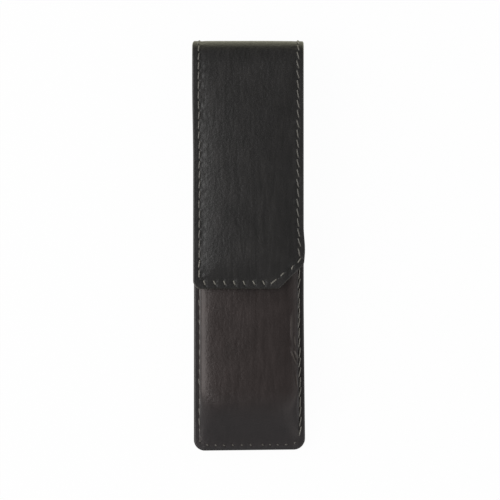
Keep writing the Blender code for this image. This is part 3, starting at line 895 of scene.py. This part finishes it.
def colour(hex_text):
    """Linear colour of an sRGB hex value."""
    values = [int(hex_text[place:place + 2], 16) / 255.0 for place in (1, 3, 5)]
    linear = [v / 12.92 if v <= 0.04045 else ((v + 0.055) / 1.055) ** 2.4 for v in values]
    return (*linear, 1.0)


def add_node(tree, kind, inputs=None, **settings):
    """Adds one node: settings are its properties, and inputs are values, sockets to link, or nodes
    whose first output is linked."""
    node = tree.nodes.new(kind)
    for key, value in settings.items():
        setattr(node, key, value)
    for key, value in (inputs or {}).items():
        if isinstance(value, bpy.types.Node):
            value = value.outputs[0]
        if isinstance(value, bpy.types.NodeSocket):
            tree.links.new(value, node.inputs[key])
        else:
            node.inputs[key].default_value = value
    return node


def new_material(name):
    """Empty material and its node tree."""
    material = bpy.data.materials.new(name)
    material.use_nodes = True
    tree = material.node_tree
    tree.nodes.clear()
    return material, tree


# The UV maps are in millimetres, so a texture's Scale is how many of its cells or waves lie in one

def cowhide(name, base, lift, wear_and_highlight, hole_shade, gleam="#ffffff"):
    """Cowhide, dyed black, plated smooth and waxed: satin, with a low pebble of about half a
    millimetre, faint streaks along the strip, and a burnished edge that shows the fibre, paled further
    by a painted highlight. The stitch holes are darkened with painted shade."""
    material, tree = new_material(name)
    flat = add_node(tree, "ShaderNodeUVMap", uv_map="flat_mm")
    # Growth lines of the hide run along the strip, 1 to 2 mm apart and up to 10 mm long
    streaky = add_node(tree, "ShaderNodeMapping", {"Vector": flat, "Scale": (0.55, 0.09, 1.0)})
    streaks = add_node(tree, "ShaderNodeTexNoise", {"Vector": streaky, "Scale": 1.0, "Detail": 4.0,
                                                    "Roughness": 0.55, "Distortion": 0.4})
    # The dye lies in clouds about a centimetre wide
    cloudy = add_node(tree, "ShaderNodeTexNoise",
                      {"Vector": flat, "Scale": 0.09, "Detail": 3.0, "Roughness": 0.5})
    # Pebble cells are 0.3 to 0.6 mm on the real hide; drawn at 0.6 mm so that they show
    pebble = add_node(tree, "ShaderNodeTexVoronoi", {"Vector": flat, "Scale": 1.7, "Randomness": 1.0},
                      feature="SMOOTH_F1")
    # Pores between the cells, a quarter of a millimetre apart
    fine = add_node(tree, "ShaderNodeTexNoise", {"Vector": flat, "Scale": 4.2, "Detail": 4.0})
    tone = add_node(tree, "ShaderNodeMath", {0: streaks, 1: cloudy}, operation="MULTIPLY")
    tone = add_node(tree, "ShaderNodeMapRange", {"Value": tone, "From Min": 0.12, "From Max": 0.42})
    body = add_node(tree, "ShaderNodeMix", {0: tone, 6: colour(base), 7: colour(lift)},
                    data_type="RGBA")
    # The rim's mark pales the colour: partly the burnished edge's wear, partly a painted highlight
    # where edges and creases catch the light
    rim = add_node(tree, "ShaderNodeAttribute", attribute_name="rim").outputs["Fac"]
    rim = add_node(tree, "ShaderNodeMath", {0: rim, 1: fine}, operation="MULTIPLY")
    rim = add_node(tree, "ShaderNodeMapRange", {"Value": rim, "From Min": 0.2, "From Max": 0.6})
    body = add_node(tree, "ShaderNodeMix", {0: rim, 6: body.outputs[2], 7: colour(wear_and_highlight)},
                    data_type="RGBA")
    # The pocket's dye is cooler on its flange and at its closed end
    cool = add_node(tree, "ShaderNodeAttribute", attribute_name="cool").outputs["Fac"]
    body = add_node(tree, "ShaderNodeMix", {0: cool, 6: body.outputs[2], 7: colour("#2a2a2c")},
                    data_type="RGBA")
    # Painted shade: each stitch hole is darkened
    hole = add_node(tree, "ShaderNodeAttribute", attribute_name="hole").outputs["Fac"]
    hole = add_node(tree, "ShaderNodeMath", {0: hole, 1: 0.6}, operation="MULTIPLY")
    body = add_node(tree, "ShaderNodeMix", {0: hole, 6: body.outputs[2], 7: colour(hole_shade)},
                    data_type="RGBA")
    gloss = add_node(tree, "ShaderNodeMapRange", {"Value": streaks, "From Min": 0.25, "From Max": 0.75,
                                                  "To Min": 0.27, "To Max": 0.36})
    grain = add_node(tree, "ShaderNodeMath", {0: pebble, 1: 0.55, 2: fine}, operation="MULTIPLY_ADD")
    bump = add_node(tree, "ShaderNodeBump", {"Strength": 0.16, "Distance": 0.00022, "Height": grain})
    # Leather drawn over a form is a little lumpy, 1 to 2 mm from lump to lump
    lumps = add_node(tree, "ShaderNodeTexNoise", {"Vector": flat, "Scale": 0.75, "Detail": 2.0})
    bump = add_node(tree, "ShaderNodeBump",
                    {"Strength": 0.35, "Distance": 0.0003, "Height": lumps, "Normal": bump})
    bump = add_node(tree, "ShaderNodeBump",
                    {"Strength": 0.14, "Distance": 0.0006, "Height": streaks, "Normal": bump})
    shader = add_node(tree, "ShaderNodeBsdfPrincipled",
                      {"Base Color": body.outputs[2], "Roughness": gloss, "Normal": bump, "IOR": 1.5,
                       "Specular Tint": colour(gleam)})
    add_node(tree, "ShaderNodeOutputMaterial", {"Surface": shader})
    return material


def suede(name, base, lift):
    """Split suede lining, dyed black: a short brushed nap, matt, with cloudy patches."""
    material, tree = new_material(name)
    flat = add_node(tree, "ShaderNodeUVMap", uv_map="flat_mm")
    # Patches where the nap lies one way are about 3 mm wide
    cloudy = add_node(tree, "ShaderNodeTexNoise",
                      {"Vector": flat, "Scale": 0.35, "Detail": 5.0, "Roughness": 0.65})
    # The nap's fibres are finer than this; drawn at 0.2 mm so that they show
    nap = add_node(tree, "ShaderNodeTexNoise",
                   {"Vector": flat, "Scale": 5.0, "Detail": 6.0, "Roughness": 0.7})
    share = add_node(tree, "ShaderNodeMapRange", {"Value": cloudy, "From Min": 0.3, "From Max": 0.7})
    body = add_node(tree, "ShaderNodeMix", {0: share, 6: colour(base), 7: colour(lift)},
                    data_type="RGBA")
    gloss = add_node(tree, "ShaderNodeMapRange", {"Value": nap, "To Min": 0.78, "To Max": 0.98})
    bump = add_node(tree, "ShaderNodeBump", {"Strength": 0.5, "Distance": 0.0002, "Height": nap})
    shader = add_node(tree, "ShaderNodeBsdfPrincipled",
                      {"Base Color": body.outputs[2], "Roughness": gloss, "Normal": bump,
                       "Sheen Weight": 0.25, "Sheen Roughness": 0.5})
    add_node(tree, "ShaderNodeOutputMaterial", {"Surface": shader})
    return material


def bonded_board(name):
    """Bonded leather board: brown pressed fibres, flecked and dull."""
    material, tree = new_material(name)
    flat = add_node(tree, "ShaderNodeUVMap", uv_map="flat_mm")
    # Flecks of 0.7 mm among fibres of a third of a millimetre
    flecks = add_node(tree, "ShaderNodeTexVoronoi", {"Vector": flat, "Scale": 1.4})
    fibres = add_node(tree, "ShaderNodeTexNoise", {"Vector": flat, "Scale": 3.0, "Detail": 6.0})
    share = add_node(tree, "ShaderNodeMath", {0: flecks, 1: fibres}, operation="MULTIPLY")
    body = add_node(tree, "ShaderNodeMix", {0: share, 6: colour("#4a3626"), 7: colour("#8a6a4c")},
                    data_type="RGBA")
    gloss = add_node(tree, "ShaderNodeMapRange", {"Value": fibres, "To Min": 0.75, "To Max": 0.95})
    bump = add_node(tree, "ShaderNodeBump", {"Strength": 0.4, "Distance": 0.0002, "Height": fibres})
    shader = add_node(tree, "ShaderNodeBsdfPrincipled",
                      {"Base Color": body.outputs[2], "Roughness": gloss, "Normal": bump})
    add_node(tree, "ShaderNodeOutputMaterial", {"Surface": shader})
    return material


def waxed_thread(name, base, lift, wear_and_highlight_colour):
    """Waxed polyester thread: black, three plies twisted at a slant, with a waxy gleam, and another
    tone where its mark says: dulled by wear on the shell's sides, and a paler painted highlight on the
    pocket's seam."""
    material, tree = new_material(name)
    flat = add_node(tree, "ShaderNodeUVMap", uv_map="flat_mm")
    # The plies cross the thread at a slant of about 50 degrees, a third of a millimetre apart
    slanted = add_node(tree, "ShaderNodeMapping", {"Vector": flat, "Rotation": (0.0, 0.0, 0.9)})
    plies = add_node(tree, "ShaderNodeTexWave",
                     {"Vector": slanted, "Scale": 0.9, "Distortion": 0.6}).outputs["Fac"]
    body = add_node(tree, "ShaderNodeMix", {0: plies, 6: colour(base), 7: colour(lift)},
                    data_type="RGBA")
    wear_and_highlight_mark = add_node(tree, "ShaderNodeAttribute", attribute_name="wear_and_highlight_mark").outputs["Fac"]
    body = add_node(tree, "ShaderNodeMix", {0: wear_and_highlight_mark, 6: body.outputs[2], 7: colour(wear_and_highlight_colour)},
                    data_type="RGBA")
    gloss = add_node(tree, "ShaderNodeMapRange", {"Value": plies, "To Min": 0.42, "To Max": 0.28})
    bump = add_node(tree, "ShaderNodeBump", {"Strength": 0.6, "Distance": 0.0001, "Height": plies})
    shader = add_node(tree, "ShaderNodeBsdfPrincipled",
                      {"Base Color": body.outputs[2], "Roughness": gloss, "Normal": bump, "IOR": 1.55,
                       "Coat Weight": 0.4, "Coat Roughness": 0.2})
    add_node(tree, "ShaderNodeOutputMaterial", {"Surface": shader})
    return material


# Dressing

# Stretches of the shell: name, first and last run, the bodies on both sides of its hinge, spacing of
# its mesh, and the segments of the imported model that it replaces
STRETCHES = (
    ("back", CLOSED_END, MID_RUNS[0], "pocket", "fold_rear", BACK_STEP, ("back", "fold_rear")),
    ("fold_low", MID_RUNS[0], MID_RUNS[1], "fold_rear", "fold_top", FLAP_STEP,
     ("fold_rear", "fold_top")),
    ("fold_high", MID_RUNS[1], MID_RUNS[2], "fold_top", "fold_front", FLAP_STEP,
     ("fold_top", "fold_front")),
    ("flap", MID_RUNS[2], FLAP_END, "fold_front", "flap", FLAP_STEP, ("fold_front", "flap")),
)


def bend(piece, place, first, second):
    """Bakes the piece's placing into its mesh."""
    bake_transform(piece)


def outside(x, run, rise):
    """Place of thread on the shell's outer face, 0.1 mm below its pressed border."""
    return wrap(*hand_cut(x, run), outer_press(run) + 0.1 - rise)


def inside(x, run, rise):
    """Place of thread on the shell's inner face, 0.08 mm below its pressed border."""
    return wrap(*hand_cut(x, run), SHEETS - PRESS_INNER - 0.08 + rise)


def on_flange(x, y, rise):
    """Place of thread on the pocket's flange, 0.1 mm below its face."""
    return np.stack((*hand_cut(x, y), FLANGE_TOP - 0.1 + rise), axis=-1) * MM


def dress_shell(hide, board, lining, thread):
    """Leather, stiffener, lining and thread of each stretch, each with its placing baked into its
    mesh.
    On the inside the seam shows from the pocket's mouth on."""
    stitches = shell_stitches()
    for place, (stretch, start, end, first, second, step, nodes) in enumerate(STRETCHES):
        made = [
            (strip_sheet(stretch + "_hide", start, end, 0.0, step, leather_faces(stitches), hide,
                         stitches), "leather", "shell_leather"),
            (strip_sheet(stretch + "_stiffener", start, end, BOARD_TRIM, BOARD_STEP, board_faces,
                         board), "board", "board"),
            (strip_sheet(stretch + "_suede", start, end, LINING_TRIM, step + LINING_COARSER,
                         lining_faces(stitches), lining), "lining", "lining"),
        ]
        for piece, layer, slot in made:
            bend(piece, place, first, second)
            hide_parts(*(node + "_" + layer for node in nodes))
        here = stitches[(stitches[:, 1] >= start) & (stitches[:, 1] < end)]
        seam = thread_loops(stretch + "_thread", here, outside, thread, dulled_share)
        bend(seam, place, first, second)
        open_side = here[here[:, 1] > MOUTH + 1.0]
        seam = thread_loops(stretch + "_thread_inner", open_side, inside, thread, dulled_share)
        bend(seam, place, first, second)


def dress_pocket(hide, lining, divider, thread):
    """Pocket front with its lining, seam and divider, all fixed to the pocket."""
    stitches = pocket_stitches()
    front = tray_piece("pocket_front_hide", 0.0, LEATHER, 0.0, hide, stitches)
    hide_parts("front_leather")
    inner = tray_piece("pocket_front_suede", LEATHER + GLUE, LINING, LINING_TRIM, lining)
    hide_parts("front_lining")
    web = divider_strip("divider_web", divider)
    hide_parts("pen_divider")
    sink = np.where(stitches[:, 0] > 19.0, SHALLOW_SINK, THREAD_SINK)
    seam = thread_loops("pocket_thread", stitches, on_flange, thread, painted_highlight_share, sink)
    for piece in (front, inner, web, seam):
        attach(piece, "pocket")


def dress_case():
    """The whole dressed case."""
    # Third colour: the rim, partly edge wear and partly painted highlight. Fourth: painted shade in
    # the stitch holes
    shell_hide = cowhide("black_cowhide", "#181716", "#262423", "#5c584f", "#0a0a09")
    pocket_hide = cowhide("black_cowhide_pocket", "#241e1d", "#312a29", "#4b4641", "#1c1918",
                          gleam="#fff6f3")
    lining = suede("black_suede", "#161515", "#232121")
    board = bonded_board("bonded_leather_board")
    divider = suede("black_split_leather", "#1b1a19", "#282625")
    shell_thread = waxed_thread("black_waxed_thread", "#625f58", "#807c71", "#5e5b54")
    # The pocket's thread pales to its last colour as a painted highlight, mostly along the right side
    pocket_thread = waxed_thread("waxed_thread_painted_highlight", "#514d48", "#6b675f", "#a5a198")
    dress_shell(shell_hide, board, lining, shell_thread)
    dress_pocket(pocket_hide, lining, divider, pocket_thread)


# Stage, in metres

def lay_floor():
    """Plain white floor, clear from below. The camera sees it as white paper, all but a share of
    0.03 that stays matt for the case's soft shadow. Shiny surfaces see a white sheet of strength
    0.3. Up to 0.7 is added within 100 mm of the middle, fading out at 160 mm, as 0.6 y - 0.8 x goes
    from -30 to 40 mm, which is beyond the fold and to the left."""
    material, tree = new_material("white_paper")
    rays = add_node(tree, "ShaderNodeLightPath").outputs
    place = add_node(tree, "ShaderNodeTexCoord").outputs["Object"]
    lit = add_node(tree, "ShaderNodeVectorMath", {0: place, 1: (-0.8, 0.6, 0.0)},
                   operation="DOT_PRODUCT").outputs["Value"]
    shine = add_node(tree, "ShaderNodeMapRange",
                     {"Value": lit, "From Min": -0.03, "From Max": 0.04, "To Min": 0.0,
                      "To Max": 0.7}, interpolation_type="SMOOTHSTEP")
    away = add_node(tree, "ShaderNodeVectorMath", {0: place}, operation="LENGTH").outputs["Value"]
    near = add_node(tree, "ShaderNodeMapRange",
                    {"Value": away, "From Min": 0.1, "From Max": 0.16, "To Min": 1.0, "To Max": 0.0},
                    interpolation_type="SMOOTHSTEP")
    shine = add_node(tree, "ShaderNodeMath", {0: shine, 1: near, 2: 0.3}, operation="MULTIPLY_ADD")
    strength = add_node(tree, "ShaderNodeMath", {0: shine, 1: rays["Is Camera Ray"]},
                        operation="MAXIMUM")
    seen = add_node(tree, "ShaderNodeMath", {0: rays["Is Camera Ray"], 1: 0.97},
                    operation="MULTIPLY")
    share = add_node(tree, "ShaderNodeMath", {0: seen, 1: rays["Is Glossy Ray"]},
                     operation="MAXIMUM")
    matt = add_node(tree, "ShaderNodeBsdfDiffuse", {"Color": colour("#f4f4f4")})
    # In the photograph the fold mirrors the sheet beyond it a little warm
    beyond = add_node(tree, "ShaderNodeSeparateXYZ", {"Vector": place}).outputs["Y"]
    warm = add_node(tree, "ShaderNodeMapRange", {"Value": beyond, "From Min": 0.06, "From Max": 0.09})
    warm = add_node(tree, "ShaderNodeMath", {0: warm, 1: rays["Is Camera Ray"]},
                    operation="SUBTRACT", use_clamp=True)
    tint = add_node(tree, "ShaderNodeMix",
                    {0: warm, 6: (1.0, 1.0, 1.0, 1.0), 7: (1.0, 0.98, 0.74, 1.0)}, data_type="RGBA")
    white = add_node(tree, "ShaderNodeEmission", {"Color": tint.outputs[2], "Strength": strength})
    both = add_node(tree, "ShaderNodeMixShader", {0: share, 1: matt, 2: white})
    under = add_node(tree, "ShaderNodeNewGeometry").outputs["Backfacing"]
    clear = add_node(tree, "ShaderNodeBsdfTransparent")
    both = add_node(tree, "ShaderNodeMixShader", {0: under, 1: both, 2: clear})
    add_node(tree, "ShaderNodeOutputMaterial", {"Surface": both})
    reach = 3.0
    verts = np.array(((-1.0, -1.0, 0.0), (1.0, -1.0, 0.0), (1.0, 1.0, 0.0), (-1.0, 1.0, 0.0)))
    floor = new_piece("floor", verts * reach, [(0, 1, 2, 3)], material)


def soft_lamp(name, place, size, power):
    """Square soft lamp that points at the middle of the case, 10 mm above the floor."""
    lamp = bpy.data.lights.new(name, "AREA")
    lamp.shape = "SQUARE"
    lamp.size = size
    lamp.energy = power
    obj = bpy.data.objects.new(name, lamp)
    obj.location = place
    way = Vector((0.0, 0.0, 0.01)) - Vector(place)
    obj.rotation_mode = "QUATERNION"
    obj.rotation_quaternion = way.to_track_quat("-Z", "Y")
    bpy.context.scene.collection.objects.link(obj)


def light_studio():
    """White room with a large soft lamp on the left. Its wall is of strength 1.1 on the left, and
    falls to 0.32 overhead towards the closed end and 0.19 towards the fold. Up to 0.5 is added low
    on the right. Beside the closed end the left wall begins further left, so what faces that corner
    sees less of it. The camera sees white."""
    world = bpy.data.worlds.new("studio")
    bpy.context.scene.world = world
    world.use_nodes = True
    tree = world.node_tree
    tree.nodes.clear()
    way = add_node(tree, "ShaderNodeTexCoord").outputs["Generated"]
    parts = add_node(tree, "ShaderNodeSeparateXYZ", {"Vector": way}).outputs
    low = add_node(tree, "ShaderNodeMath", {0: parts["Y"], 1: 0.0}, operation="MINIMUM")
    lit = add_node(tree, "ShaderNodeMath", {0: low, 1: 0.7}, operation="MULTIPLY")
    lit = add_node(tree, "ShaderNodeMath", {0: lit, 1: parts["X"]}, operation="SUBTRACT")
    dim = add_node(tree, "ShaderNodeMapRange",
                   {"Value": parts["Y"], "From Min": -0.3, "From Max": 0.2, "To Min": 0.32,
                    "To Max": 0.19})
    left = add_node(tree, "ShaderNodeMapRange",
                    {"Value": lit, "From Min": 0.0, "From Max": 0.40, "To Min": dim, "To Max": 1.1},
                    interpolation_type="SMOOTHSTEP")
    away = add_node(tree, "ShaderNodeVectorMath", {0: way, 1: (0.96, -0.25, 0.0)},
                    operation="DOT_PRODUCT").outputs["Value"]
    right = add_node(tree, "ShaderNodeMapRange",
                     {"Value": away, "From Min": 0.25, "From Max": 0.75, "To Min": 0.0,
                      "To Max": 0.5}, interpolation_type="SMOOTHSTEP")
    level = add_node(tree, "ShaderNodeMath", {0: left, 1: right}, operation="ADD")
    seen = add_node(tree, "ShaderNodeLightPath").outputs["Is Camera Ray"]
    level = add_node(tree, "ShaderNodeMath", {0: level, 1: seen}, operation="MAXIMUM")
    shine = add_node(tree, "ShaderNodeBackground",
                     {"Color": (1.0, 1.0, 1.0, 1.0), "Strength": level})
    add_node(tree, "ShaderNodeOutputWorld", {"Surface": shine})
    soft_lamp("left_softbox", place=(-0.75, 0.10, 0.65), size=0.9, power=4.5)


def stand_camera():
    """Camera straight above, with the fold at the top of the picture: a long lens, and the case a
    little left of the middle and above it. A pixel is 0.39 mm on the flap, 3 mm below the top."""
    picture_pixels = 500.0
    pixel_mm = 0.3898
    right_pixels = 1.2
    up_pixels = -4.35
    focus_below_top = 3.0
    camera = bpy.data.cameras.new("camera")
    camera.sensor_width = 36.0
    camera.lens = 800.0
    camera.dof.use_dof = False
    camera.clip_end = 20.0
    obj = bpy.data.objects.new("camera", camera)
    away = picture_pixels * pixel_mm * camera.lens / camera.sensor_width
    obj.location = (right_pixels * pixel_mm * MM, up_pixels * pixel_mm * MM,
                    (CASE_DEPTH - focus_below_top + away) * MM)
    bpy.context.scene.collection.objects.link(obj)
    bpy.context.scene.camera = obj


bpy.context.scene.view_settings.view_transform = "Standard"
stand_camera()
dress_case()
lay_floor()
light_studio()
